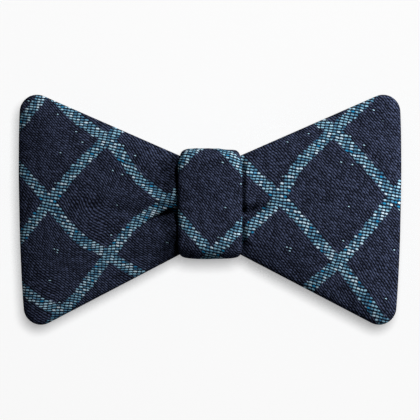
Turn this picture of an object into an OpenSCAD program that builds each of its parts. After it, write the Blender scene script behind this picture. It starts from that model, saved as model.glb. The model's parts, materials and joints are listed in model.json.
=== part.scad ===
// Pre-tied butterfly bow tie on a sprung collar clip.
// X runs across the bow, Z is up as worn, and the front faces -Y.
// The origin is the centre of the knot's flat back face.

/* [Bow] */
// Overall width across both wings
bow_w = 114.2; // [100:0.2:130]
// Height of the upper wing corners above the knot's centre
wing_top = 32.7; // [28:0.1:36]
// Depth of the lower wing corners below the knot's centre
wing_bottom = 36.3; // [30:0.1:40]
// How far the lower corners stand in from the upper ones
lower_inset = 1.2; // [0:0.1:4]
// Radius of the wing corners
corner_r = 5.8; // [3:0.1:8]
// Half height of the gathered waist
waist_half = 14.6; // [12:0.1:15]
// Fullness of each wing at its middle
wing_thick = 6.4; // [5:0.1:7]

/* [Cloth] */
// Thickness of one made-up panel, cloth and backing
panel_t = 0.9; // [0.6:0.05:1.2]
// Thickness of the stiff layer inside the bow
interlining_t = 0.6; // [0.4:0.05:0.8]
// Thickness of the folded knot band
band_t = 1.2; // [0.9:0.05:1.5]
// Thickness of the sewing thread
thread_d = 0.4; // [0.3:0.05:0.5]

/* [Knot] */
// Width of the knot
knot_w = 19.2; // [16:0.1:20]
// Height of the knot
knot_h = 32.9; // [32:0.1:36]
// Depth of the knot, front to back
knot_d = 12.7; // [12.5:0.1:15]
// Radius of the knot's long edges
knot_r = 2.6; // [1.5:0.1:4]

/* [Clip] */
// Overall length of the clip bar
clip_w = 62; // [58:1:70]
// Height of the clip bar
bar_h = 9; // [8:0.5:10]
// Thickness of the steel sheet
steel_t = 0.8; // [0.6:0.05:0.9]
// Distance of each hinge from the middle
hinge_x = 17.5; // [17:0.1:19]
// Height of the hinge axis behind the knot's back face
hinge_y = 2.0; // [1.9:0.05:2.3]
// Radius of the hinge pin
pin_r = 0.8; // [0.6:0.05:0.9]
// Width of a lever at its jaw and finger tab
jaw_w = 7; // [6:0.2:8]
// Teeth along each jaw
teeth = 5; // [3:1:7]

/* [Hidden] */
$fn = 48;
RIM_FN = 32;
LEFT = 0;
RIGHT = 1;

navy = "#23283f";
lining_grey = "#c9c6bd";
thread_navy = "#1a1f33";
steel = "#b9bcc0";
spring_steel = "#8d9196";

fit = 0.05;
waist_y = -6.4;
waist_x = knot_w / 2 - 0.6;
lap_x = 0.4;
rim_t = 0.8;
rim_inset = 3.2;
waist_t = 3.4;
ply_gap = interlining_t / 2 + fit;

// Wing corners: centre X, centre Z of the upper and the lower one
corner_x = bow_w / 2 - corner_r;
upper = [corner_x, wing_top - corner_r];
lower = [corner_x - lower_inset, corner_r - wing_bottom];

bar_back = -band_t - fit;
bar_front = bar_back - steel_t;
ear_in = 2.9;
ear_r = 2.1;
lever_half = ear_in - 0.3;
cheek_t = 0.8;
cheek_r = 1.75;
pin_head_r = 1.2;
pin_head_t = 0.5;
ear_play = 0.02;
lever_play = 0.05;
tack_x = knot_w / 2 + 2;
tack_z = 3.2;
tack_hole_r = 0.5;

// Lever profile, from the finger tab to the jaw, measured from the hinge axis
lever_t = 0.8;
over_pin = 2.25;
tab_slope = 20;
tab_reach = 5.9;
bend_x = 0.6;
neck_from = 3.2;
neck_to = 7;
arm_x = 8.2;
arm_y = 1.4;
jaw_x = 11.6;
jaw_gap = 0.35;
tooth_h = 0.9;
tooth_tip = 0.3;
jaw_tip = bar_back - hinge_y + jaw_gap;
lever_line = [
    [-tab_reach, over_pin + (tab_reach - bend_x) * tan(tab_slope)],
    [-bend_x, over_pin],
    [2.2, over_pin],
    [arm_x, arm_y],
    [jaw_x, jaw_tip + 2 * tooth_h],
    [jaw_x, jaw_tip]];

// Torsion spring
wire_r = 0.2;
coil_r = 1.22;
coil_turns = 3;
coil_half = 1.15;
leg_l = 5.2;
leg_angle = 70;
coil_steps = 54;
wire_sides = 8;

seam_pitch = 3;
seam_inset = 1.1;

function lerp(a, b, t) = a + (b - a) * t;

// ---- cloth ----

// A slab in the XZ plane, drawn flat and stood up, from y0 back to y1
module stood_up(y0, y1) {
    translate([0, y1, 0]) rotate([90, 0, 0]) linear_extrude(y1 - y0) children();
}

// Outline of one wing from the waist out, taken in all round
module wing_outline(inset) {
    hull() {
        translate([waist_x, inset - waist_half]) square([0.1, 2 * (waist_half - inset)]);
        translate(upper) circle(corner_r - inset * 0.9, $fn = RIM_FN);
        translate(lower) circle(corner_r - inset * 0.9, $fn = RIM_FN);
    }
}

// The crowned half of one wing, reaching full away from the middle plane
module half_wing(full, rim, inset) {
    hull() {
        stood_up(-rim, 0) wing_outline(inset);
        stood_up(-full, 0) wing_outline(inset + rim_inset);
    }
}

// One face of the bow, as its front: a crowned shell each side and the gathered waist
module bow_panel() {
    hollow_rim = 0.1;
    for (side = [LEFT, RIGHT]) mirror([1 - side, 0, 0]) difference() {
        half_wing(wing_thick / 2 - fit, rim_t, 0);
        translate([0, fit, 0])
            half_wing(wing_thick / 2 - panel_t, hollow_rim, panel_t);
    }
    translate([-waist_x - lap_x, -waist_t - ply_gap, -waist_half])
        cube([2 * (waist_x + lap_x), waist_t, 2 * waist_half]);
}

module bow_front_panel() {
    color(navy) translate([0, waist_y - fit, 0]) bow_panel();
}

module bow_back_panel() {
    color(navy) translate([0, waist_y + fit, 0]) mirror([0, 1, 0]) bow_panel();
}

// The stiff layer follows the bow's outline just inside the seam
module bow_interlining() {
    color(lining_grey) {
        for (side = [LEFT, RIGHT]) mirror([1 - side, 0, 0])
            stood_up(waist_y - interlining_t / 2, waist_y + interlining_t / 2)
                wing_outline(2 * seam_inset);
        translate([-waist_x - lap_x, waist_y - interlining_t / 2, 2 * seam_inset - waist_half])
            cube([2 * (waist_x + lap_x), interlining_t, 2 * (waist_half - 2 * seam_inset)]);
    }
}

// A row of stitches through both rims, between two points of the outline
module seam_run(from, to) {
    count = floor(norm(to - from) / seam_pitch);
    for (i = [0 : count]) {
        at = lerp(from, to, i / count);
        translate([at[0], waist_y, at[1]]) rotate([90, 0, 0])
            cylinder(r = thread_d / 2, h = 2 * rim_t, center = true, $fn = 16);
    }
}

module edge_seam_thread() {
    reach = corner_r - seam_inset;
    color(thread_navy) for (side = [LEFT, RIGHT]) mirror([1 - side, 0, 0]) {
        seam_run([waist_x + 4, waist_half + 0.4], upper + [-reach * 0.4, reach * 0.9]);
        seam_run(upper + [reach, 0], lower + [reach, 0]);
        seam_run([waist_x + 4, -waist_half - 0.6], lower + [-reach * 0.4, -reach * 0.9]);
    }
}

// Loops of thread drawn tight round the waist, hidden by the knot
module waist_binding_thread() {
    wrap_t = 0.5;
    wrap_pitch = 1.2;
    half_y = waist_t + ply_gap + 2 * fit;
    half_z = waist_half + fit;
    color(thread_navy) for (i = [-2 : 2])
        translate([i * wrap_pitch - wrap_t / 2, waist_y, 0]) difference() {
            translate([0, -half_y - wrap_t, -half_z - wrap_t])
                cube([wrap_t, 2 * (half_y + wrap_t), 2 * (half_z + wrap_t)]);
            translate([-1, -half_y, -half_z])
                cube([wrap_t + 2, 2 * half_y, 2 * half_z]);
        }
}

// ---- knot ----

// Rounded bar along X, centred on the knot's section
module rounded_bar(h, d, r, w) {
    translate([0, -knot_d / 2, 0]) {
        cube([w, d - 2 * r, h], center = true);
        cube([w, d, h - 2 * r], center = true);
        for (y = [-1, 1], z = [-1, 1])
            translate([0, y * (d / 2 - r), z * (h / 2 - r)]) rotate([0, 90, 0])
                cylinder(r = r, h = w, center = true);
    }
}

lap_z = -5;
lap_t = 0.5;

lap_drop = 7;
stitch_pitch = 2.5;
bar_corner_r = 3;

// The band goes once round the waist and the clip bar, and laps over itself behind
module knot_band() {
    color(navy) difference() {
        rounded_bar(knot_h, knot_d, knot_r, knot_w);
        rounded_bar(knot_h - 2 * band_t, knot_d - 2 * band_t, knot_r - band_t, knot_w + 2);
        translate([-knot_w, -lap_t, lap_z - lap_drop])
            cube([2 * knot_w, 2 * lap_t, lap_drop]);
    }
}

module knot_interlining() {
    pad_t = 0.7;
    color(lining_grey) translate([-knot_w / 2 + 0.6, band_t - knot_d + fit, 4 - knot_h / 2])
        cube([knot_w - 1.2, pad_t, knot_h - 8]);
}

// Slip stitches down the lapped edge
module knot_back_stitches() {
    stitch_l = 1.6;
    color(thread_navy) for (i = [-3 : 3])
        translate([i * stitch_pitch, -lap_t / 2, lap_z]) rotate([0, 25, 0])
            cylinder(r = thread_d / 2, h = stitch_l, center = true, $fn = 16);
}

// ---- collar clip ----

// Outline of a bent strip of sheet, mitred at its bends, around a list of points
function left_of(p, i) = let (d = p[i + 1] - p[i]) [-d[1], d[0]] / norm(d);
function beside(p, i, h) =
    let (a = left_of(p, max(i - 1, 0)), b = left_of(p, min(i, len(p) - 2)))
        p[i] + (a + b) * h / (1 + a * b);
function strip_outline(p, t) = concat(
    [for (i = [0 : len(p) - 1]) beside(p, i, t / 2)],
    [for (i = [len(p) - 1 : -1 : 0]) beside(p, i, -t / 2)]);

module clip_frame() {
    color(steel) difference() {
        union() {
            translate([bar_corner_r - clip_w / 2, bar_front, -bar_h / 2])
                cube([clip_w - 2 * bar_corner_r, steel_t, bar_h]);
            translate([-clip_w / 2, bar_front, bar_corner_r - bar_h / 2])
                cube([clip_w, steel_t, bar_h - 2 * bar_corner_r]);
            for (x = [-1, 1], z = [-1, 1])
                translate([x * (clip_w / 2 - bar_corner_r), bar_back,
                    z * (bar_h / 2 - bar_corner_r)])
                    rotate([90, 0, 0]) cylinder(r = bar_corner_r, h = steel_t);
            for (x = [-1, 1], z = [-1, 1])
                translate([x * hinge_x, 0, z * (ear_in + steel_t / 2)]) {
                    translate([0, hinge_y, 0])
                        cylinder(r = ear_r, h = steel_t, center = true);
                    translate([0, (hinge_y + bar_front) / 2, 0])
                        cube([2 * ear_r, hinge_y - bar_front, steel_t], center = true);
                }
        }
        for (x = [-1, 1]) {
            translate([x * hinge_x, hinge_y, 0])
                cylinder(r = pin_r + ear_play, h = 2 * bar_h, center = true);
            for (z = [-1, 1])
                translate([x * tack_x, 0, z * tack_z]) rotate([90, 0, 0])
                    cylinder(r = tack_hole_r, h = 4 * steel_t, $fn = 24);
        }
    }
}

// The right-hand lever about its own hinge axis: one pressing with two folded cheeks
module lever() {
    difference() {
        union() {
            difference() {
                linear_extrude(jaw_w, center = true)
                    polygon(strip_outline(lever_line, lever_t));
                for (z = [-1, 1])
                    translate([-neck_from, 0, z * lever_half - (1 - z) * jaw_w / 2])
                        cube([neck_from + neck_to, 2 * over_pin, jaw_w]);
            }
            for (z = [-1, 1])
                translate([0, 0, z * (lever_half - cheek_t / 2)]) {
                    cylinder(r = cheek_r, h = cheek_t, center = true);
                    translate([-cheek_r, 0, -cheek_t / 2])
                        cube([2 * cheek_r, over_pin, cheek_t]);
                }
        }
        cylinder(r = pin_r + lever_play, h = jaw_w + 2, center = true);
        for (i = [1 : teeth - 1])
            translate([jaw_x - lever_t, jaw_tip, (i - teeth / 2) * jaw_w / teeth])
                tooth_gap();
    }
}

// The V between two teeth of a jaw
module tooth_gap() {
    half = jaw_w / teeth / 2 - tooth_tip / 2;
    rotate([0, 90, 0]) linear_extrude(2 * lever_t)
        polygon([[-half, -0.1], [half, -0.1], [half, 0], [0, tooth_h], [-half, 0]]);
}

module right_clip_lever() {
    color(steel) translate([hinge_x, hinge_y, 0]) lever();
}

module left_clip_lever() {
    color(steel) mirror([1, 0, 0]) translate([hinge_x, hinge_y, 0]) lever();
}

module hinge_pin(x) {
    shank = 2 * (ear_in + steel_t + fit + pin_head_t);
    color(spring_steel) translate([x, hinge_y, 0]) {
        cylinder(r = pin_r, h = shank, center = true);
        for (z = [-1, 1])
            translate([0, 0, z * (shank - pin_head_t) / 2])
                cylinder(r = pin_head_r, h = pin_head_t, center = true);
    }
}

module left_hinge_pin() {
    hinge_pin(-hinge_x);
}

module right_hinge_pin() {
    hinge_pin(hinge_x);
}

// Wire path of the spring: one leg under the finger tab, the coil, one leg on the bar
coil_sweep = 2 * leg_angle + 360 * coil_turns;
function coil_at(a, z) = [coil_r * cos(a), coil_r * sin(a), z];
function leg_at(a, sign, z) =
    coil_at(a, z) + sign * leg_l * [sin(a), -cos(a), 0];
wire_path = concat(
    [leg_at(leg_angle, -1, coil_half)],
    [for (i = [0 : coil_steps])
        coil_at(leg_angle - coil_sweep * i / coil_steps, lerp(coil_half, -coil_half, i / coil_steps))],
    [leg_at(-leg_angle, 1, -coil_half)]);
wire_out = concat(
    [leg_angle],
    [for (i = [0 : coil_steps]) leg_angle - coil_sweep * i / coil_steps],
    [-leg_angle]);

module torsion_spring() {
    last = len(wire_path) - 1;
    function along(i) =
        let (d = wire_path[min(i + 1, last)] - wire_path[max(i - 1, 0)]) d / norm(d);
    rings = [for (i = [0 : last])
        let (out = [cos(wire_out[i]), sin(wire_out[i]), 0], side = cross(along(i), out))
            for (k = [0 : wire_sides - 1])
                wire_path[i] + wire_r * (cos(k * 360 / wire_sides) * out
                    + sin(k * 360 / wire_sides) * side)];
    walls = [for (i = [0 : last - 1], k = [0 : wire_sides - 1])
        let (n = (k + 1) % wire_sides, a = i * wire_sides, b = (i + 1) * wire_sides)
            each [[a + k, a + n, b + n], [a + k, b + n, b + k]]];
    ends = [[for (k = [wire_sides - 1 : -1 : 0]) k],
        [for (k = [0 : wire_sides - 1]) last * wire_sides + k]];
    polyhedron(rings, concat(walls, ends));
}

module right_torsion_spring() {
    color(spring_steel) translate([hinge_x, hinge_y, 0]) torsion_spring();
}

module left_torsion_spring() {
    color(spring_steel) mirror([1, 0, 0]) translate([hinge_x, hinge_y, 0]) torsion_spring();
}

// Thread through the bar's sewing holes into the back panel
module clip_tack_stitches() {
    r = thread_d / 2;
    reach = 3.2;
    color(thread_navy) for (x = [-1, 1]) translate([x * tack_x, bar_back + r, 0]) {
        cylinder(r = r, h = 2 * tack_z, center = true, $fn = 16);
        for (z = [-1, 1]) translate([0, 0, z * tack_z]) {
            sphere(r = r, $fn = 16);
            rotate([90, 0, 0]) cylinder(r = r, h = reach, $fn = 16);
        }
    }
}

bow_front_panel();
bow_back_panel();
bow_interlining();
edge_seam_thread();
waist_binding_thread();
knot_band();
knot_interlining();
knot_back_stitches();
clip_frame();
left_clip_lever();
right_clip_lever();
left_hinge_pin();
right_hinge_pin();
left_torsion_spring();
right_torsion_spring();
clip_tack_stitches();
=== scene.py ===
"""A pre-tied butterfly bow tie in a bias windowpane cloth, on a sprung collar clip."""
import json
import math

import bmesh
import bpy
from mathutils import Matrix, Vector, noise
from mathutils.kdtree import KDTree


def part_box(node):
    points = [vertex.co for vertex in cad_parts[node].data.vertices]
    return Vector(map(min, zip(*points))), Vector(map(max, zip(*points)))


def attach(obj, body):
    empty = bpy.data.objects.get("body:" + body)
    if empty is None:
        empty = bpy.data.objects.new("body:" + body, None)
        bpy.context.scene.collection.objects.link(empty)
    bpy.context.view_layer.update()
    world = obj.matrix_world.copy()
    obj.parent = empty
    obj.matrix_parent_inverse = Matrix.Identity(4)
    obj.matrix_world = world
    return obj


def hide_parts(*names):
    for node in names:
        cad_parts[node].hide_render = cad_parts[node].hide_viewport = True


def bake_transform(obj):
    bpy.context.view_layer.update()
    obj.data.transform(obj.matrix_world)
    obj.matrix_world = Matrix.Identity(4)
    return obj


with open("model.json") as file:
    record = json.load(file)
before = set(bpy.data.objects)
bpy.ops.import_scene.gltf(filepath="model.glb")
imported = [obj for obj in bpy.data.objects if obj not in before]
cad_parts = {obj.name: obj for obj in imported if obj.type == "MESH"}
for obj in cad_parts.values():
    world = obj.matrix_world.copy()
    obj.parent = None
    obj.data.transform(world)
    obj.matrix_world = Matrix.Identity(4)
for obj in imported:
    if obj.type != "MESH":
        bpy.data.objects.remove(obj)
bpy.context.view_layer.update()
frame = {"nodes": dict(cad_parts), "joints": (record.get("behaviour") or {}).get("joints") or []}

MM = 0.001
scene = bpy.context.scene


def mm(value):
    return value * MM


# ------------------------------------------------------------------ sizes from the frame, in mm
def box_mm(node):
    low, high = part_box(node)
    return Vector(low) / MM, Vector(high) / MM


bow_low, bow_high = box_mm("bow_front_panel")
back_low, back_high = box_mm("bow_back_panel")
knot_low, knot_high = box_mm("knot_band")

SEAM_Y = (bow_high.y + back_low.y) / 2
WING_X = bow_high.x
WING_TOP = bow_high.z
WING_BOTTOM = bow_low.z
KNOT_W = knot_high.x - knot_low.x
KNOT_H = knot_high.z - knot_low.z
KNOT_D = knot_high.y - knot_low.y
JOINT_AT = {j["name"]: Vector(j["pos_m"]) for j in frame["joints"]}


# ------------------------------------------------------------------ node and colour helpers
def linear(hex_code):
    """An sRGB hex colour as linear RGBA."""
    parts = [int(hex_code[i:i + 2], 16) / 255 for i in (1, 3, 5)]
    return (*[c / 12.92 if c <= 0.04045 else ((c + 0.055) / 1.055) ** 2.4 for c in parts], 1.0)


def add(tree, kind, settings=None, inputs=None):
    """One node, with its settings, its input values and the links into it."""
    made = tree.nodes.new(kind)
    for key, value in (settings or {}).items():
        setattr(made, key, value)
    for key, value in (inputs or {}).items():
        if isinstance(value, bpy.types.NodeSocket):
            tree.links.new(value, made.inputs[key])
        else:
            made.inputs[key].default_value = value
    return made


def new_material(name):
    material = bpy.data.materials.new(name)
    material.use_nodes = True
    tree = material.node_tree
    tree.nodes.clear()
    return material, tree


def maths(tree, operation, a, b=0.0, c=0.0):
    return add(tree, "ShaderNodeMath", {"operation": operation}, {0: a, 1: b, 2: c}).outputs[0]


def vectors(tree, operation, a, b=(0.0, 0.0, 0.0)):
    return add(tree, "ShaderNodeVectorMath", {"operation": operation}, {0: a, 1: b}).outputs[0]


def dot(tree, a, weights):
    made = add(tree, "ShaderNodeVectorMath", {"operation": "DOT_PRODUCT"}, {0: a, 1: weights})
    return made.outputs["Value"]


def mixed(tree, factor, a, b, blend="MIX"):
    made = add(tree, "ShaderNodeMix", {"data_type": "RGBA", "blend_type": blend},
               {0: factor, 6: a, 7: b})
    return made.outputs[2]


def smooth_mask(tree, value, low, high):
    """0 below low, 1 above high, with a smooth step between."""
    return add(tree, "ShaderNodeMapRange", {"interpolation_type": "SMOOTHSTEP"},
               {0: value, 1: low, 2: high, 3: 0.0, 4: 1.0}).outputs[0]


def output(tree, surface):
    add(tree, "ShaderNodeOutputMaterial", None, {"Surface": surface})


# ------------------------------------------------------------------ materials
PANE = 24.6          # side of one pane of the check
BAND = 3.1           # width of a light blue band
FLOAT_NEXT = (1.12, -0.20)   # from one float of the weave to the next in its row
ROW_NEXT = (0.20, 0.80)      # from one float to the one above it
NAVY_DARK = "#08090e"
NAVY_LIGHT = "#383f55"
SPLIT = 0.6          # how far a float on a band's edge is parted between its plies


def windowpane_cloth():
    """Wool and silk, plain woven from heavy yarn, navy with a light blue windowpane.

    Yarn gives a dry, matt face; each band is a row of light floats over navy ones, and is
    closest to solid where two bands cross. Every float has its own depth of dye."""
    material, tree = new_material("wool silk windowpane")
    cloth = add(tree, "ShaderNodeUVMap", {"uv_map": "cloth"}).outputs[0]
    wander = add(tree, "ShaderNodeTexNoise", {"noise_dimensions": "2D"},
                 {"Vector": cloth, "Scale": 0.35, "Detail": 1.0}).outputs["Color"]
    centred = vectors(tree, "SUBTRACT", wander, (0.5, 0.5, 0.5))
    yarn_at = vectors(tree, "ADD", cloth, vectors(tree, "MULTIPLY", centred, (0.5, 0.5, 0.0)))
    # The floats lie in leaning rows: count them along and up the rows
    area = FLOAT_NEXT[0] * ROW_NEXT[1] - FLOAT_NEXT[1] * ROW_NEXT[0]
    root = math.sqrt(0.5)

    def bias(level, upright):
        """A weight on the level and the upright, as a weight on the two threads."""
        return ((level + upright) * root, (level - upright) * root, 0.0)

    in_row = dot(tree, yarn_at, bias(ROW_NEXT[1] / area, -ROW_NEXT[0] / area))
    rows = dot(tree, yarn_at, bias(-FLOAT_NEXT[1] / area, FLOAT_NEXT[0] / area))
    lean = maths(tree, "SINE", maths(tree, "MULTIPLY", rows, 2 * math.pi))
    leaning = maths(tree, "MULTIPLY_ADD", lean, -0.5 / (2 * math.pi), in_row)
    float_no = maths(tree, "FLOOR", leaning)
    row_no = maths(tree, "FLOOR", rows)
    cell = add(tree, "ShaderNodeCombineXYZ", None, {0: float_no, 1: row_no}).outputs[0]
    chance = add(tree, "ShaderNodeTexWhiteNoise", {"noise_dimensions": "2D"}, {"Vector": cell})
    dye = chance.outputs["Value"]
    second = add(tree, "ShaderNodeSeparateColor", None, {0: chance.outputs["Color"]})

    # A float is blue when its middle lies in one of the bands
    middle = vectors(tree, "ADD", cell, (0.5, 0.5, 0.0))
    ply = vectors(tree, "MULTIPLY", yarn_at, (SPLIT, SPLIT, 0.0))
    ply_at = add(tree, "ShaderNodeSeparateXYZ", None, {0: ply})
    middle_rise = dot(tree, middle, ((FLOAT_NEXT[0] + FLOAT_NEXT[1]) * root,
                                     (ROW_NEXT[0] + ROW_NEXT[1]) * root, 0.0))
    middle_fall = dot(tree, middle, ((FLOAT_NEXT[0] - FLOAT_NEXT[1]) * root,
                                     (ROW_NEXT[0] - ROW_NEXT[1]) * root, 0.0))

    def band(value, ply_value, chance_of):
        place = maths(tree, "MULTIPLY_ADD", value, 1 - SPLIT, ply_value)
        from_line = maths(tree, "PINGPONG", place, PANE / 2)
        frayed = maths(tree, "MULTIPLY_ADD", chance_of, 0.3, from_line)
        return smooth_mask(tree, frayed, BAND / 2 + 0.25, BAND / 2 + 0.1)

    in_band = maths(tree, "MAXIMUM", band(middle_fall, ply_at.outputs[1], second.outputs[1]),
                    band(middle_rise, ply_at.outputs[0], second.outputs[2]))

    across_float = maths(tree, "ABSOLUTE", maths(
        tree, "SINE", maths(tree, "MULTIPLY", rows, math.pi)))
    along_float = maths(tree, "ABSOLUTE", maths(
        tree, "SINE", maths(tree, "MULTIPLY", leaning, math.pi)))
    crown = maths(tree, "MULTIPLY", maths(tree, "POWER", across_float, 1.5),
                  maths(tree, "POWER", along_float, 0.5))
    # Painted highlight and shade: a band's blue shows only round each float's crown, and the gap
    # colour round it is painted darker than the navy ground
    float_lit = smooth_mask(tree, crown, 0.3, 0.85)

    ribs = maths(tree, "ADD", in_row, rows)
    rib = maths(tree, "SINE", maths(tree, "MULTIPLY", ribs, 2 * math.pi))
    fibre = add(tree, "ShaderNodeTexNoise", {"noise_dimensions": "2D"},
                {"Vector": yarn_at, "Scale": 3.6, "Detail": 2.0, "Roughness": 0.7})
    tangle = maths(tree, "MULTIPLY_ADD", fibre.outputs["Fac"], 5.0, -2.5)
    # Painted highlight: the navy ground is coloured lighter on each float's crown and along the rib
    # crests; the fibre tangle and the dye add tone that differs at random
    beaded = maths(tree, "MULTIPLY_ADD", crown, 1.0, tangle)
    rib_lit = smooth_mask(tree, maths(tree, "ADD", beaded, maths(
        tree, "MULTIPLY_ADD", dye, 1.0, rib)), 0.3, 3.3)
    navy = mixed(tree, rib_lit, linear(NAVY_DARK), linear(NAVY_LIGHT))
    blue = add(tree, "ShaderNodeValToRGB", None, {0: dye})
    ramp = blue.color_ramp
    ramp.elements[0].position = 0.0
    ramp.elements[0].color = linear("#2b4d65")
    ramp.elements[1].position = 1.0
    ramp.elements[1].color = linear("#d3d3cb")
    for place, tone in ((0.3, "#4c7389"), (0.7, "#7297a8"), (0.93, "#9cb0bc")):
        ramp.elements.new(place).color = linear(tone)
    cyan = smooth_mask(tree, second.outputs[0], 0.93, 0.97)
    blues = mixed(tree, cyan, blue.outputs[0], linear("#1a6386"))
    # Painted shade between the floats of a band, darker than the navy ground
    gap = mixed(tree, 0.35, linear("#0a111b"), navy)
    banded = mixed(tree, float_lit, gap, blues)
    colour = mixed(tree, in_band, navy, banded)

    # Neps: a float here and there caught with pale fibre
    nep = smooth_mask(tree, second.outputs[0], 0.0085, 0.0075)
    nep_lit = maths(tree, "MULTIPLY", nep, smooth_mask(tree, crown, 0.72, 0.94))
    colour = mixed(tree, nep_lit, colour, linear("#86a6b4"))

    height = maths(tree, "MULTIPLY_ADD", crown, 0.8, maths(tree, "MULTIPLY", rib, 0.2))
    bump = add(tree, "ShaderNodeBump", None,
               {"Strength": 0.5, "Distance": mm(0.12), "Height": height}).outputs[0]
    surface = add(tree, "ShaderNodeBsdfPrincipled", None, {
        "Base Color": colour, "Roughness": 0.9, "Specular IOR Level": 0.0, "Normal": bump})
    output(tree, surface.outputs[0])
    return material


def fibre_cloth():
    """Loose plain-woven wool interlining, charcoal so that it never shows through."""
    material, tree = new_material("charcoal interlining")
    place = add(tree, "ShaderNodeTexCoord").outputs["Object"]
    threads = add(tree, "ShaderNodeTexWave", {"wave_type": "BANDS", "bands_direction": "Z"},
                  {"Vector": place, "Scale": 420.0, "Distortion": 1.2}).outputs["Fac"]
    colour = mixed(tree, threads, linear("#1d1e22"), linear("#303136"))
    bump = add(tree, "ShaderNodeBump", None,
               {"Strength": 0.4, "Distance": mm(0.1), "Height": threads}).outputs[0]
    surface = add(tree, "ShaderNodeBsdfPrincipled", None,
                  {"Base Color": colour, "Roughness": 0.9, "Normal": bump})
    output(tree, surface.outputs[0])
    return material


def spun_thread():
    """Spun polyester sewing thread, navy, twisted, with a soft shine along the twist."""
    material, tree = new_material("navy sewing thread")
    place = add(tree, "ShaderNodeTexCoord").outputs["Object"]
    twist = add(tree, "ShaderNodeTexWave",
                {"wave_type": "BANDS", "bands_direction": "DIAGONAL"},
                {"Vector": place, "Scale": 900.0, "Distortion": 0.5}).outputs["Fac"]
    # Painted highlight: the colour runs light and dark with the twist, standing in for the shine
    # along the plies; the sheen weight adds a little real sheen
    colour = mixed(tree, twist, linear("#121626"), linear("#39415f"))
    bump = add(tree, "ShaderNodeBump", None,
               {"Strength": 0.6, "Distance": mm(0.05), "Height": twist}).outputs[0]
    surface = add(tree, "ShaderNodeBsdfPrincipled", None, {
        "Base Color": colour, "Roughness": 0.55, "Sheen Weight": 0.2, "Normal": bump})
    output(tree, surface.outputs[0])
    return material


def nickel_plate():
    """Pressed mild steel with bright nickel plate: warm grey mirror, faint press marks."""
    material, tree = new_material("nickel plated steel")
    place = add(tree, "ShaderNodeTexCoord").outputs["Object"]
    drag = add(tree, "ShaderNodeMapping", None,
               {"Vector": place, "Scale": (300.0, 2600.0, 2600.0)}).outputs[0]
    lines = add(tree, "ShaderNodeTexNoise", None,
                {"Vector": drag, "Scale": 1.0, "Detail": 3.0}).outputs["Fac"]
    cloud = add(tree, "ShaderNodeTexNoise", None,
                {"Vector": place, "Scale": 260.0, "Detail": 4.0}).outputs["Fac"]
    colour = mixed(tree, cloud, linear("#b3b0a8"), linear("#c9c6be"))
    rough = add(tree, "ShaderNodeMapRange", None,
                {0: cloud, 1: 0.3, 2: 0.7, 3: 0.22, 4: 0.32}).outputs[0]
    bump = add(tree, "ShaderNodeBump", None,
               {"Strength": 0.05, "Distance": mm(0.02), "Height": lines}).outputs[0]
    surface = add(tree, "ShaderNodeBsdfPrincipled", None, {
        "Base Color": colour, "Metallic": 1.0, "Roughness": rough, "Normal": bump})
    output(tree, surface.outputs[0])
    return material


def drawn_wire():
    """Hard-drawn spring steel, oiled and darker than the plate, with fine die lines."""
    material, tree = new_material("drawn spring steel")
    place = add(tree, "ShaderNodeTexCoord").outputs["Object"]
    grain = add(tree, "ShaderNodeTexNoise", None,
                {"Vector": place, "Scale": 2200.0, "Detail": 2.0}).outputs["Fac"]
    colour = mixed(tree, grain, linear("#6d6f72"), linear("#9b9da0"))
    bump = add(tree, "ShaderNodeBump", None,
               {"Strength": 0.1, "Distance": mm(0.02), "Height": grain}).outputs[0]
    surface = add(tree, "ShaderNodeBsdfPrincipled", None, {
        "Base Color": colour, "Metallic": 1.0, "Roughness": 0.32, "Normal": bump})
    output(tree, surface.outputs[0])
    return material


CLOTH = windowpane_cloth()
INTERLINING = fibre_cloth()
SEWING = spun_thread()
NICKEL = nickel_plate()
WIRE = drawn_wire()


# ------------------------------------------------------------------ mesh helpers
def new_piece(name, mesh_data, material, body="bow"):
    """A finished bmesh as an object at the origin, riding on a body if one is named."""
    mesh = bpy.data.meshes.new(name)
    mesh_data.to_mesh(mesh)
    mesh_data.free()
    mesh.materials.append(material)
    for face in mesh.polygons:
        face.use_smooth = True
    piece = bpy.data.objects.new(name, mesh)
    scene.collection.objects.link(piece)
    if body:
        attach(piece, body)
    return piece


def sharp_by(piece, degrees):
    """Flat and turned faces keep a crisp line where they meet at more than the angle."""
    piece.data.set_sharp_from_angle(angle=math.radians(degrees))


def smoothstep(low, high, value):
    t = min(max((value - low) / (high - low), 0.0), 1.0)
    return t * t * (3 - 2 * t)


def lerp(a, b, t):
    return a + (b - a) * t


# ------------------------------------------------------------------ the wings' outline, in mm
THROAT_X = 9.0
THROAT_TOP = 14.4
THROAT_BOTTOM = -15.2
CORNER_R = 5.2
END_BOW = 0.7
UPPER = Vector((WING_X - CORNER_R, WING_TOP - CORNER_R))
LOWER = Vector((WING_X - CORNER_R - 1.2, WING_BOTTOM + CORNER_R))


def tangent_angle(point, centre, radius, side):
    """Angle on a circle at which a line from the point touches it."""
    away = point - centre
    spread = math.acos(radius / away.length)
    angle = math.atan2(away.y, away.x) + side * spread
    return math.atan2(math.sin(angle), math.cos(angle))


def arc(centre, radius, start, end, steps=24):
    return [centre + radius * Vector((math.cos(lerp(start, end, i / steps)),
                                      math.sin(lerp(start, end, i / steps))))
            for i in range(steps + 1)]


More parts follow.
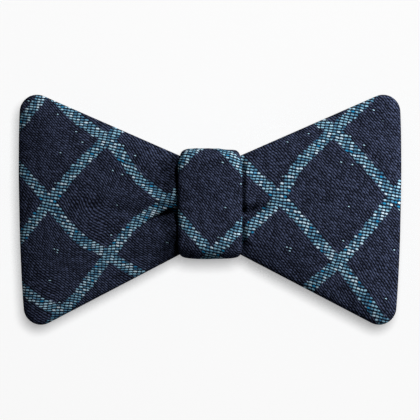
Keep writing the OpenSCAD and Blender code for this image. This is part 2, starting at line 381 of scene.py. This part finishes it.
def wing_edges():
    """The top, end and bottom edges of the right wing, each a chain of points."""
    top_from = Vector((THROAT_X, THROAT_TOP))
    low_from = Vector((THROAT_X, THROAT_BOTTOM))
    top_at = tangent_angle(top_from, UPPER, CORNER_R, -1)
    low_at = tangent_angle(low_from, LOWER, CORNER_R, 1)
    lean = math.atan2(UPPER.x - LOWER.x, UPPER.y - LOWER.y)
    upper_mid = (top_at - lean) / 2
    lower_mid = (low_at - lean) / 2
    top = [top_from] + arc(UPPER, CORNER_R, top_at, upper_mid)
    end = arc(LOWER, CORNER_R, lower_mid, -lean)
    end += [end[-1].lerp(UPPER + Vector((CORNER_R, 0)), i / 20) for i in range(1, 20)]
    end += arc(UPPER, CORNER_R, -lean, upper_mid)
    for p in end:
        share = (p.y - LOWER.y) / (UPPER.y - LOWER.y)
        p.x += END_BOW * (1 - abs(2 * share - 1) ** 2.5) if 0 < share < 1 else 0
    bottom = [low_from] + arc(LOWER, CORNER_R, low_at, lower_mid)
    return top, end, bottom


def along_chain(chain, share):
    """The point at a share of a chain's length."""
    lengths = [(b - a).length for a, b in zip(chain, chain[1:])]
    left = share * sum(lengths)
    for a, b, length in zip(chain, chain[1:], lengths):
        if left <= length:
            return a.lerp(b, left / length)
        left -= length
    return chain[-1].copy()


TOP_EDGE, END_EDGE, BOTTOM_EDGE = wing_edges()


def wing_point(w, v):
    """A point of the right wing, w from the waist out and v from bottom to top."""
    top, bottom = along_chain(TOP_EDGE, w), along_chain(BOTTOM_EDGE, w)
    end = along_chain(END_EDGE, v)
    start = TOP_EDGE[0] * v + BOTTOM_EDGE[0] * (1 - v)
    corners = (BOTTOM_EDGE[0] * (1 - w) * (1 - v) + BOTTOM_EDGE[-1] * w * (1 - v)
               + TOP_EDGE[0] * (1 - w) * v + TOP_EDGE[-1] * w * v)
    return bottom * (1 - v) + top * v + start * (1 - w) + end * w - corners


def outline_tree():
    """Every point of the bow's outline, to measure how far in a point lies."""
    points = []
    steps = 260
    for chain in (TOP_EDGE, END_EDGE, BOTTOM_EDGE):
        for i in range(steps + 1):
            p = along_chain(chain, i / steps)
            points += [p, Vector((-p.x, p.y))]
    for i in range(37):
        x = lerp(-THROAT_X, THROAT_X, i / 36)
        points += [Vector((x, THROAT_TOP)), Vector((x, THROAT_BOTTOM))]
    tree = KDTree(len(points))
    for i, p in enumerate(points):
        tree.insert((p.x, p.y, 0), i)
    tree.balance()
    return tree


OUTLINE = outline_tree()


def inside_by(x, z):
    return OUTLINE.find((x, z, 0))[2]


# ------------------------------------------------------------------ how the check lies on each wing
# Crossings and ends of the check's lines, in mm from the knot's centre, with their count of
# panes along the rising and the falling lines. The made-up wing draws the bias cloth a little.
LEFT_CHECK = [
    (-47.9, 0.6, 0, 0), (-30.8, 19.5, 1, 0), (-30.2, -15.3, 0, 1), (-12.8, 0.9, 1, 1),
    (-44.3, -32.4, -1, 1), (-26.6, 14.7, 1, 0.24), (-23.0, 9.3, 1, 0.49), (-19.4, 5.1, 1, 0.7),
    (-15.8, 2.4, 1, 0.87), (-17.2, -1.3, 0.79, 1), (-21.4, -4.4, 0.57, 1),
    (-24.7, -7.9, 0.38, 1), (-27.6, -11.7, 0.18, 1), (-45.2, -3.9, 0, 0.21),
    (-42.2, -7.8, 0, 0.41), (-38.3, -11.4, 0, 0.63), (-34.4, -14.1, 0, 0.82),
    (-26.3, -18.0, 0, 1.19), (-20.3, -21.0, 0, 1.46), (-33.8, 16.5, 0.84, 0),
    (-37.7, 13.2, 0.64, 0), (-41.0, 9.3, 0.44, 0), (-44.5, 5.1, 0.22, 0),
    (-36.2, 22.8, 1, -0.25), (-40.1, 25.8, 1, -0.44), (-43.7, 28.8, 1, -0.63),
    (-52.4, 5.7, 0, -0.27), (-56.6, 10.5, 0, -0.52), (-52.4, -5.1, -0.29, 0),
    (-56.5, -10.2, -0.55, 0), (-56.6, 24.3, 0.46, -1), (-53.6, 27.9, 0.65, -1),
    (-50.3, 31.5, 0.85, -1), (-56.0, -25.8, -1, 0.46), (-51.2, -29.4, -1, 0.7),
    (-33.8, -20.1, -0.27, 1), (-36.8, -24.3, -0.5, 1), (-40.4, -28.5, -0.75, 1),
    (-26.6, 22.2, 1.2, 0), (-9.0, -0.4, 1, 1.12), (-9.0, 0.8, 1.12, 1)]
RIGHT_CHECK = [
    (21.1, 1.9, 0, 0), (37.0, 22.2, 1, 0), (38.5, -17.7, 0, 1), (55.0, 2.4, 1, 1),
    (51.4, -35.1, 0, 1.83), (23.5, 7.8, 0.24, 0), (27.2, 12.6, 0.47, 0), (31.9, 17.4, 0.73, 0),
    (41.8, 26.1, 1.25, 0), (46.3, 30.3, 1.49, 0), (32.2, 24.0, 1, -0.2),
    (26.2, -3.9, 0, 0.29), (30.1, -8.4, 0, 0.52), (34.3, -13.2, 0, 0.76),
    (43.0, -23.7, 0, 1.29), (47.2, -29.1, 0, 1.55), (41.8, 17.1, 1, 0.26),
    (46.0, 12.9, 1, 0.48), (50.2, 8.1, 1, 0.72), (51.4, -2.7, 0.76, 1),
    (47.2, -7.5, 0.52, 1), (43.0, -12.9, 0.25, 1), (33.4, -21.3, -0.25, 1),
    (29.2, -25.5, -0.48, 1), (16.3, 5.5, 0, -0.23), (12.7, 9.5, 0, -0.45),
    (9.3, 12.5, 0, -0.63), (17.8, -2.1, -0.2, 0), (14.2, -5.1, -0.38, 0),
    (10.6, -8.1, -0.56, 0)]
KNOT_CHECK = [
    (0.6, -15.0, 0, 0), (-4.5, -9.6, 0, -0.31), (-9.3, -3.9, 0, -0.6), (4.5, -11.4, 0.24, 0),
    (9.6, -6.9, 0.51, 0), (0.5, 20.6, 1, -1), (-6.6, 15.4, 0.64, -1), (-8.6, 13.0, 0.5, -1),
    (5.4, 14.7, 1, -0.68), (8.7, 12.3, 1, -0.5)]
BACK_CHECK = [(0.0, 0.0, 0, 0), (17.4, 17.4, 1, 0), (17.4, -17.4, 0, 1)]


def check_frame(points):
    """Least-squares axes of a check, and what is left over at each of its points."""
    ata = Matrix(((0, 0, 0), (0, 0, 0), (0, 0, 0)))
    atb = [Vector((0, 0, 0)), Vector((0, 0, 0))]
    for x, z, rise, fall in points:
        row = Vector((x, z, 1))
        for r in range(3):
            for c in range(3):
                ata[r][c] += row[r] * row[c]
        atb[0] += row * rise
        atb[1] += row * fall
    solved = ata.inverted()
    rise_axis, fall_axis = solved @ atb[0], solved @ atb[1]
    rest = []
    for x, z, rise, fall in points:
        row = Vector((x, z, 1))
        rest.append((Vector((x, z)), rise - row.dot(rise_axis), fall - row.dot(fall_axis)))
    return rise_axis, fall_axis, rest


def cloth_at(check, x, z, spread=4.0):
    """Place on the cloth, in mm along the rising and the falling threads."""
    rise_axis, fall_axis, rest = check
    row = Vector((x, z, 1))
    rise, fall = row.dot(rise_axis), row.dot(fall_axis)
    total = 0.04
    d_rise = d_fall = 0.0
    for at, over_rise, over_fall in rest:
        weight = math.exp(-((x - at.x) ** 2 + (z - at.y) ** 2) / (2 * spread * spread))
        total += weight
        d_rise += weight * over_rise
        d_fall += weight * over_fall
    return (rise + d_rise / total) * PANE, (fall + d_fall / total) * PANE


LEFT_CLOTH = check_frame(LEFT_CHECK)
RIGHT_CLOTH = check_frame(RIGHT_CHECK)
KNOT_CLOTH = check_frame(KNOT_CHECK)
BACK_CLOTH = check_frame(BACK_CHECK)


# ------------------------------------------------------------------ folds at the waist
# Each fold is a line from the knot outwards, as (x, z, depth, reach above, reach below) in mm.
# Depth is positive where the cloth sinks into a pocket and negative where it stands out.
LEFT_FOLDS = [
    [(8.0, -1.4, 3.3, 0.7, 3.0), (12.6, -2.5, 3.3, 0.7, 2.8), (16.8, -4.4, 2.2, 0.7, 2.4),
     (20.5, -6.8, 0.7, 0.9, 2.0), (24.0, -9.0, 0.0, 1.0, 2.0)],
    [(17.0, -1.2, 0.0, 1.5, 1.2), (23.0, -2.7, 0.8, 1.8, 1.4), (31.0, -2.6, 0.45, 2.4, 2.0),
     (40.0, -1.8, 0.0, 3.0, 2.0)],
    [(8.0, 1.6, -0.9, 2.0, 1.0), (15.0, 1.2, -0.9, 2.6, 1.5), (25.0, 2.2, -0.6, 4.0, 2.4),
     (35.0, 3.0, -0.35, 5.0, 3.5), (46.0, 1.5, 0.0, 6.0, 4.0)],
    [(8.0, 8.6, 0.9, 1.6, 1.2), (13.0, 10.2, 0.6, 1.8, 1.4), (20.0, 12.6, 0.0, 2.0, 2.0)],
    [(8.0, -7.4, -1.0, 2.6, 2.6), (17.0, -9.6, -1.1, 3.2, 3.4), (26.0, -13.0, 0.0, 4.0, 4.0)],
    [(8.0, -11.6, 0.6, 1.2, 1.2), (14.0, -14.4, 0.3, 1.4, 1.4), (19.0, -16.4, 0.0, 2.0, 2.0)]]
RIGHT_FOLDS = [
    [(8.0, -4.8, 3.6, 2.7, 0.7), (12.0, -3.2, 3.5, 2.3, 0.7), (15.0, -1.8, 2.2, 1.7, 0.7),
     (18.5, 0.2, 0.4, 1.4, 0.9), (21.5, 2.0, 0.0, 1.6, 1.0)],
    [(8.0, -7.8, -0.9, 1.8, 2.4), (13.0, -5.4, -0.9, 1.8, 2.6), (19.0, -2.4, -0.5, 2.2, 3.0),
     (28.0, -2.0, 0.0, 3.0, 3.5)],
    [(8.0, 9.4, 0.7, 1.4, 1.4), (14.0, 10.4, 0.5, 1.8, 1.6), (22.0, 13.0, 0.0, 2.2, 2.2)],
    [(8.0, -11.0, 0.6, 1.3, 1.2), (14.0, -13.6, 0.3, 1.5, 1.4), (19.0, -15.6, 0.0, 2.0, 2.0)]]
BACK_FOLDS = [
    [(8.0, 6.4, 1.2, 1.4, 1.4), (16.0, 8.6, 0.7, 1.8, 1.8), (26.0, 12.0, 0.0, 2.5, 2.5)],
    [(8.0, -6.4, 1.2, 1.4, 1.4), (16.0, -8.6, 0.7, 1.8, 1.8), (26.0, -12.0, 0.0, 2.5, 2.5)],
    [(8.0, 0.0, 0.4, 1.6, 1.6), (16.0, 0.0, 0.3, 2.0, 2.0), (22.0, 0.0, 0.0, 2.0, 2.0)]]


def fold_depth(folds, x, z):
    out = abs(x)
    depth = 0.0
    for line in folds:
        if out >= line[-1][0]:
            continue
        for a, b in zip(line, line[1:]):
            if out <= b[0]:
                t = smoothstep(a[0], b[0], out)
                z_line, sink, above, below = [lerp(p, q, t) for p, q in zip(a[1:], b[1:])]
                z_line = lerp(a[1], b[1], (out - a[0]) / (b[0] - a[0]))
                break
        gap = (z - z_line) / (above if z > z_line else below)
        depth += sink * math.exp(-gap * gap)
    return depth


RIM_R = 0.95           # round of the turned edge
CROWN = 1.95           # how far a wing swells inside its edge
lining_low, lining_high = box_mm("bow_interlining")
LINING = (lining_high.y - lining_low.y) / 2 + 0.55


def wing_half(x, z, folds, seed):
    """How far the cloth stands off the seam's plane, at a point of the bow."""
    into = inside_by(x, z)
    rim = RIM_R * math.sqrt(max(1 - (1 - min(into / RIM_R, 1)) ** 2, 0))
    crown = CROWN * (1 - math.exp(-max(into - RIM_R * 0.6, 0) / 5.5))
    out = max(abs(x) - THROAT_X, 0.0)
    full = (0.9 * math.exp(-out / 9.0) + 0.7 * math.exp(-((out - 1.5) / 3.0) ** 2))
    full *= smoothstep(0.0, 6.0, into)
    # The gathers bunch up inside the knot, above and below the clip's bar
    full += (1.1 * smoothstep(9.0, 7.6, abs(x)) * smoothstep(4.8, 7.5, abs(z))
             * smoothstep(0.0, 3.0, into))
    ripple = 0.22 * noise.noise(Vector((x / 13, z / 13, seed)))
    ripple += 0.07 * noise.noise(Vector((x / 4, z / 4, seed + 7)))
    sink = fold_depth(folds, x, z) * smoothstep(0.0, 3.0, into)
    sink += 1.3 * math.exp(-((abs(x) - KNOT_W / 2) / 0.9) ** 2) * smoothstep(0.0, 3.0, into)
    least = LINING * smoothstep(0.5, 3.0, into)
    stands = rim + crown + full + ripple * smoothstep(0, 4, into) - sink - least
    return least + (stands + math.sqrt(stands * stands + 0.09 * smoothstep(0, 2, into))) / 2 + 0.03


# ------------------------------------------------------------------ bow cloth
WING_COLS = 84
WAIST_COLS = 14
ROWS = 88
BOW_CLOTH_T = 0.45


def bow_cloth(name, face, node):
    """One face of the bow, waist and both wings: face is -1 in front, +1 behind."""
    cloth = bmesh.new()
    columns = 2 * WING_COLS + WAIST_COLS
    bmesh.ops.create_grid(cloth, x_segments=columns, y_segments=ROWS, size=0.5)
    uv_layer = cloth.loops.layers.uv.new("cloth")
    flat = {}
    waist_share = WAIST_COLS / 2 / columns
    for vert in cloth.verts:
        u, v = vert.co.x, vert.co.y + 0.5
        if abs(u) <= waist_share:
            at = Vector((THROAT_X * u / waist_share, lerp(THROAT_BOTTOM, THROAT_TOP, v)))
        else:
            w = (abs(u) - waist_share) / (0.5 - waist_share)
            at = wing_point(w ** 1.15, v)
            at.x = math.copysign(at.x, u)
        flat[vert.index] = at
    for vert in cloth.verts:
        at = flat[vert.index]
        if face > 0:
            folds = BACK_FOLDS
        else:
            folds = LEFT_FOLDS if at.x < 0 else RIGHT_FOLDS
        off = wing_half(at.x, at.y, folds, 3.0 if face < 0 else 11.0)
        vert.co = Vector((at.x, SEAM_Y + face * off, at.y)) * MM
    for quad in cloth.faces:
        for loop in quad.loops:
            at = flat[loop.vert.index]
            if face > 0:
                check = BACK_CLOTH
            else:
                check = LEFT_CLOTH if quad.calc_center_median().x < 0 else RIGHT_CLOTH
            loop[uv_layer].uv = cloth_at(check, at.x, at.y)
    cloth.normal_update()
    if sum(quad.normal.y for quad in cloth.faces) * face < 0:
        bmesh.ops.reverse_faces(cloth, faces=cloth.faces)
    piece = new_piece(name, cloth, CLOTH)
    wall = piece.modifiers.new("cloth thickness", "SOLIDIFY")
    wall.thickness = mm(BOW_CLOTH_T)
    wall.offset = -1.0
    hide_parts(node)


bow_cloth("bow_front_cloth", -1, "bow_front_panel")
bow_cloth("bow_back_cloth", 1, "bow_back_panel")


# ------------------------------------------------------------------ knot
KNOT_FRONT_R = 4.2
KNOT_BACK_R = 2.6
KNOT_CROWN = 0.8       # how far the padded front stands proud in its middle
LAP_STEP = 0.5         # the lap's upper layer stands this far off the lower one
LAP_FROM = -12.0       # heights where the band starts and ends behind
LAP_TO = -5.0
FRONT_FOLD_R = 1.05    # the edges turn round the lining in front
BACK_FOLD_R = 0.75
TURN_IN = 2.4
KNOT_CLOTH_T = 0.3
HEM_DIP = 2.4          # how far the turned-in edge is pressed down onto the bow


def knot_section():
    """The band's path seen along X: from under the lap behind, over the top, down the front,
    and back up behind to the lap. Pairs of (y, z)."""
    high = KNOT_H / 2 - 0.2
    front, back = -KNOT_D, 0.0
    path = [Vector((back - LAP_STEP, lerp(LAP_FROM, high - KNOT_BACK_R, i / 16)))
            for i in range(16)]
    path += arc(Vector((back - KNOT_BACK_R, high - KNOT_BACK_R)), KNOT_BACK_R - LAP_STEP,
                0, math.pi / 2, 10)
    path += [Vector((p.x, p.y + LAP_STEP)) for p in
             arc(Vector((front + KNOT_FRONT_R, high - KNOT_FRONT_R - LAP_STEP)), KNOT_FRONT_R,
                 math.pi / 2, math.pi, 18)]
    path += [Vector((front, lerp(high - KNOT_FRONT_R, -high + KNOT_FRONT_R, i / 30)))
             for i in range(1, 30)]
    path += arc(Vector((front + KNOT_FRONT_R, -high + KNOT_FRONT_R)), KNOT_FRONT_R,
                math.pi, 1.5 * math.pi, 18)
    path += arc(Vector((back - KNOT_BACK_R, -high + KNOT_BACK_R)), KNOT_BACK_R,
                -math.pi / 2, 0, 10)
    path += [Vector((back, lerp(-high + KNOT_BACK_R, LAP_TO, i / 10))) for i in range(1, 11)]
    return path


KNOT_PATH = knot_section()
KNOT_ROUND = sum((b - a).length for a, b in zip(KNOT_PATH, KNOT_PATH[1:]))


def run_to_front():
    """Run of the band from its start to the middle of the knot's front."""
    run = 0.0
    for a, b in zip(KNOT_PATH, KNOT_PATH[1:]):
        if b.x < -KNOT_D + 0.01 and b.y < 0:
            break
        run += (b - a).length
    return run + a.y


def knot_cross(t, dip, fold_r):
    """Across the band: X, how far in, and the run of cloth, with its edges folded under round
    the lining at the fold's radius, and pressed down onto the bow by the dip."""
    flat_half = KNOT_W / 2 - fold_r
    fold_l = math.pi * fold_r
    run = abs(t) * (flat_half + fold_l + TURN_IN)
    if run <= flat_half:
        x, sink = run, 0.0
    elif run <= flat_half + fold_l:
        angle = (run - flat_half) / fold_r
        x, sink = flat_half + fold_r * math.sin(angle), fold_r * (1 - math.cos(angle))
    else:
        under = run - flat_half - fold_l
        x = flat_half - under * (1 - 0.5 * min(dip / TURN_IN, 1))
        sink = 2 * fold_r + dip * under / TURN_IN
    return math.copysign(x, t), sink, math.copysign(run, t)


def knot_cloth():
    band = bmesh.new()
    across, around = 54, 170
    bmesh.ops.create_grid(band, x_segments=across, y_segments=around, size=0.5)
    uv_layer = band.loops.layers.uv.new("cloth")
    to_middle = run_to_front()
    knot_place = {}
    for vert in band.verts:
        t, s = vert.co.x * 2, vert.co.y + 0.5
        at = along_chain(KNOT_PATH, s)
        run = along_chain(KNOT_PATH, min(s + 0.003, 1)) - along_chain(KNOT_PATH, max(s - 0.003, 0))
        run.normalize()
        normal = Vector((run.y, -run.x))
        before = smoothstep(-KNOT_D * 0.5, -KNOT_D * 0.7, at.x)
        dip = max(HEM_DIP * smoothstep(6.0, 12.0, abs(at.y)), HEM_DIP * 0.6 * before)
        fold_r = lerp(BACK_FOLD_R, FRONT_FOLD_R, before)
        x, sink, across_run = knot_cross(t, dip, fold_r)
        share = x / (KNOT_W / 2)
        front = smoothstep(-KNOT_D * 0.4, -KNOT_D * 0.85, at.x)
        crown = KNOT_CROWN * (1 - 1.05 * abs(share) ** 4.5) * front
        soft = 0.26 * noise.noise(Vector((x / 6.5, s * 14, 5.0)))
        soft += 0.09 * noise.noise(Vector((x / 2.2, s * 40, 9.0)))
        soft *= smoothstep(0.0, 0.06, s) * smoothstep(1.0, 0.94, s)
        soft *= 1 - 0.6 * smoothstep(0.7, 1.0, abs(at.y) / (KNOT_H / 2))
        lift = crown + soft - sink
        place = at + normal * lift
        end = smoothstep(0.72, 1.0, abs(at.y) / (KNOT_H / 2))
        if at.y > 0:
            corner = (1.2 * abs(share) ** 15 + 0.08 * share ** 2) * end
            corner += (0.2 * smoothstep(1.5, 5.0, x) - 0.1 * math.cos(0.88 * (x + 5.8))) * end
        else:
            corner = (0.9 * abs(share) ** 14 + 0.3 * share ** 2) * end
        place.y -= math.copysign(corner, at.y)
        place.y *= 0.985
        x *= 1 - (0.045 if at.y > 0 else 0.01) * end
        vert.co = Vector((x, place.x, place.y)) * MM
        knot_place[vert.index] = (across_run, to_middle - s * KNOT_ROUND)
    for quad in band.faces:
        for loop in quad.loops:
            across_run, up = knot_place[loop.vert.index]
            loop[uv_layer].uv = cloth_at(KNOT_CLOTH, across_run, up, 6.0)
    band.normal_update()
    if sum(q.normal.dot(q.calc_center_median() - Vector((0, mm(-KNOT_D / 2), 0)))
           for q in band.faces if abs(q.calc_center_median().x) < mm(KNOT_W * 0.3)) < 0:
        bmesh.ops.reverse_faces(band, faces=band.faces)
    piece = new_piece("knot_cloth", band, CLOTH)
    wall = piece.modifiers.new("cloth thickness", "SOLIDIFY")
    wall.thickness = mm(KNOT_CLOTH_T)
    wall.offset = -1.0
    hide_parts("knot_band")


knot_cloth()


# ------------------------------------------------------------------ collar clip
EASE = 0.12            # how far the press and the plating round off a cut edge
PIN_R = 0.8
HEAD_T = 0.5
HEAD_EDGE = 0.18       # straight side of a rivet's head, below its dome
WIRE_R = 0.2
COIL_R = 1.22
COIL_HALF = 1.15
LEG = 5.2
LEG_ANGLE = math.radians(70)
COIL_TURNS = 3


def merged(node, name, body, material):
    """A copy of a node's own shape, its triangles joined into faces."""
    shape = bmesh.new()
    shape.from_mesh(frame["nodes"][node].data)
    bmesh.ops.remove_doubles(shape, verts=shape.verts, dist=mm(0.002))
    bmesh.ops.dissolve_limit(shape, angle_limit=math.radians(1.0),
                             verts=shape.verts, edges=shape.edges)
    piece = new_piece(name, shape, material, body)
    sharp_by(piece, 40)
    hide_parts(node)
    return piece


def pressing(node, body):
    """A steel pressing with its cut edges rounded off."""
    piece = merged(node, node + "_pressing", body, NICKEL)
    rounding = piece.modifiers.new("eased edges", "BEVEL")
    rounding.width = mm(EASE)
    rounding.segments = 3
    rounding.limit_method = "ANGLE"
    rounding.angle_limit = math.radians(40)
    rounding.harden_normals = True


def hinge_rivet(side, hinge):
    """A turned pin with a domed head at each end."""
    node = side + "_hinge_pin"
    low, high = box_mm(node)
    half = (high.z - low.z) / 2
    head_r = (high.x - low.x) / 2
    dome = HEAD_T - HEAD_EDGE
    profile = [(0.0, half)]
    profile += [(head_r * math.sin(a), half - dome * (1 - math.cos(a)))
                for a in (math.radians(15 * i) for i in range(1, 7))]
    profile += [(head_r, half - HEAD_T), (PIN_R, half - HEAD_T)]
    profile += [(r, -z) for r, z in reversed(profile)]
    pin = bmesh.new()
    points = [pin.verts.new((mm(r), 0.0, mm(z))) for r, z in profile]
    edges = [pin.edges.new(pair) for pair in zip(points, points[1:])]
    bmesh.ops.spin(pin, geom=points + edges, cent=(0, 0, 0), axis=(0, 0, 1), dvec=(0, 0, 0),
                   angle=2 * math.pi, steps=40, use_merge=True)
    bmesh.ops.remove_doubles(pin, verts=pin.verts, dist=mm(0.003))
    bmesh.ops.recalc_face_normals(pin, faces=pin.faces)
    bmesh.ops.translate(pin, verts=pin.verts, vec=hinge)
    piece = new_piece(side + "_hinge_rivet", pin, WIRE, "bow")
    sharp_by(piece, 50)
    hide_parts(node)


def wound_spring(side, hinge):
    """One round wire: a leg under the finger tab, three turns about the pin, a leg on the bar."""
    toward = -1 if side == "left" else 1
    wire = bmesh.new()
    bmesh.ops.create_circle(wire, cap_ends=True, radius=mm(WIRE_R), segments=12)
    sweep = 2 * LEG_ANGLE + 2 * math.pi * COIL_TURNS
    coil_start = Vector((COIL_R * math.cos(LEG_ANGLE), COIL_R * math.sin(LEG_ANGLE), COIL_HALF))
    coil_end = Vector((coil_start.x, -coil_start.y, -COIL_HALF))
    lever_way = Vector((-math.sin(LEG_ANGLE), math.cos(LEG_ANGLE), 0))
    bar_way = Vector((lever_way.x, -lever_way.y, 0))
    facing = lever_way.to_track_quat("Z", "Y").to_matrix()
    bmesh.ops.rotate(wire, verts=wire.verts, matrix=facing)
    bmesh.ops.translate(wire, verts=wire.verts, vec=(coil_start + lever_way * LEG) * MM)

    def drawn_out(end, way):
        made = bmesh.ops.extrude_face_region(wire, geom=[end])["geom"]
        moved = [g for g in made if isinstance(g, bmesh.types.BMVert)]
        bmesh.ops.translate(wire, verts=moved, vec=way * MM)
        return next(g for g in made if isinstance(g, bmesh.types.BMFace))

    wire.faces.ensure_lookup_table()
    end = drawn_out(wire.faces[0], -lever_way * LEG)
    steps = 110
    turned = bmesh.ops.spin(wire, geom=[end] + list(end.edges) + list(end.verts),
                            cent=(0, 0, 0), axis=(0, 0, -1), angle=sweep, steps=steps,
                            dvec=(0, 0, mm(-2 * COIL_HALF / steps)), use_merge=False)
    end = next(g for g in turned["geom_last"] if isinstance(g, bmesh.types.BMFace))
    drawn_out(end, bar_way * LEG)
    bmesh.ops.scale(wire, verts=wire.verts, vec=(toward, 1, 1))
    bmesh.ops.remove_doubles(wire, verts=wire.verts, dist=mm(0.002))
    inner = [disc for disc in wire.faces if all(len(e.link_faces) > 2 for e in disc.edges)]
    bmesh.ops.delete(wire, geom=inner, context="FACES_ONLY")
    bmesh.ops.recalc_face_normals(wire, faces=wire.faces)
    bmesh.ops.translate(wire, verts=wire.verts, vec=hinge)
    piece = new_piece(side + "_wound_spring", wire, WIRE, body=None)
    sharp_by(piece, 60)
    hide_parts(side + "_torsion_spring")
    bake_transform(piece)


pressing("clip_frame", "bow")
for side in ("left", "right"):
    hinge_at = JOINT_AT[side + "_lever_hinge"]
    pressing(side + "_clip_lever", side + "_lever")
    hinge_rivet(side, hinge_at)
    wound_spring(side, hinge_at)


# ------------------------------------------------------------------ linings and threads
for node_name in ("bow_interlining", "knot_interlining"):
    merged(node_name, node_name + "_cloth", "bow", INTERLINING)
for node_name in ("edge_seam_thread", "waist_binding_thread", "knot_back_stitches",
                  "clip_tack_stitches"):
    merged(node_name, node_name + "_spun", "bow", SEWING)


# ------------------------------------------------------------------ camera, backdrop and light
CARD = 0.8             # the card's own lightness, and the even glow added to it
CARD_GLOW = 0.36
CARD_KEY = 7.2         # lamps, in watts
CLOTH_KEY = 4.9
SIDE = 1.6
BACK = 8.0
WORLD = 0.065          # the room as the cloth sees it, and as it looks behind the card
ROOM = 0.93


def studio():
    camera_data = bpy.data.cameras.new("camera")
    camera_data.lens = 250.0
    camera_data.sensor_width = 36.0
    camera = bpy.data.objects.new("camera", camera_data)
    scene.collection.objects.link(camera)
    frame_w = mm(126.0)
    distance = frame_w * camera_data.lens / camera_data.sensor_width
    camera.location = (0.0, mm(SEAM_Y) - distance, mm(-1.88))
    camera.rotation_euler = (math.radians(90), 0, 0)
    scene.camera = camera

    paper, tree = new_material("white card")
    facing = add(tree, "ShaderNodeNewGeometry").outputs["Backfacing"]
    card = add(tree, "ShaderNodeBsdfDiffuse", None, {"Color": (CARD, CARD, CARD, 1)}).outputs[0]
    glow = add(tree, "ShaderNodeEmission", None, {"Strength": CARD_GLOW}).outputs[0]
    lit = add(tree, "ShaderNodeAddShader", None, {0: card, 1: glow}).outputs[0]
    clear = add(tree, "ShaderNodeBsdfTransparent").outputs[0]
    output(tree, add(tree, "ShaderNodeMixShader", None, {0: facing, 1: lit, 2: clear}).outputs[0])
    wall = bmesh.new()
    bmesh.ops.create_grid(wall, x_segments=1, y_segments=1, size=0.3)
    bmesh.ops.rotate(wall, verts=wall.verts, matrix=Matrix.Rotation(math.radians(90), 3, "X"))
    bmesh.ops.translate(wall, verts=wall.verts, vec=(0, mm(11.0), 0))
    mesh = bpy.data.meshes.new("card")
    wall.to_mesh(mesh)
    wall.free()
    mesh.materials.append(paper)
    card_piece = bpy.data.objects.new("card", mesh)
    scene.collection.objects.link(card_piece)
    only_card = bpy.data.collections.new("the card alone")
    only_card.objects.link(card_piece)
    off_card = bpy.data.collections.new("all but the card")
    off_card.objects.link(card_piece)
    off_card.collection_objects[0].light_linking.link_state = "EXCLUDE"

    def area_light(name, place, size, power, lights=off_card):
        data = bpy.data.lights.new(name, "AREA")
        data.shape = "DISK"
        data.size = size
        data.energy = power
        light = bpy.data.objects.new(name, data)
        light.location = place
        light.rotation_euler = (-Vector(place)).to_track_quat("-Z", "Y").to_euler()
        scene.collection.objects.link(light)
        light.light_linking.receiver_collection = lights
        return light

    area_light("card key", (0.06, -1.0, 0.115), 0.25, CARD_KEY, only_card)
    area_light("cloth key", (0.2, -0.6, 0.45), 0.15, CLOTH_KEY)
    area_light("side", (0.22, -0.145, 0.11), 0.12, SIDE)
    back = area_light("back", (-0.25, 1.0, 0.3), 0.5, BACK)
    back.light_linking.blocker_collection = off_card

    world = bpy.data.worlds.new("studio")
    world.use_nodes = True
    sky = world.node_tree
    sky.nodes.clear()
    seen = add(sky, "ShaderNodeLightPath").outputs["Is Camera Ray"]
    mirrored = add(sky, "ShaderNodeLightPath").outputs["Is Glossy Ray"]
    way = add(sky, "ShaderNodeTexCoord").outputs["Generated"]
    up = add(sky, "ShaderNodeSeparateXYZ", None, {0: way}).outputs[2]
    ceiling = maths(sky, "MULTIPLY_ADD", smooth_mask(sky, up, -0.35, 0.45), 0.85, 0.2)
    seen = maths(sky, "MAXIMUM", seen, maths(sky, "MULTIPLY", mirrored, ceiling))
    strength = maths(sky, "MULTIPLY_ADD", seen, ROOM - WORLD, WORLD)
    room = add(sky, "ShaderNodeBackground", None,
               {"Color": (1, 1, 1, 1), "Strength": strength}).outputs[0]
    add(sky, "ShaderNodeOutputWorld", None, {"Surface": room})
    scene.world = world
    scene.view_settings.view_transform = "Standard"


studio()
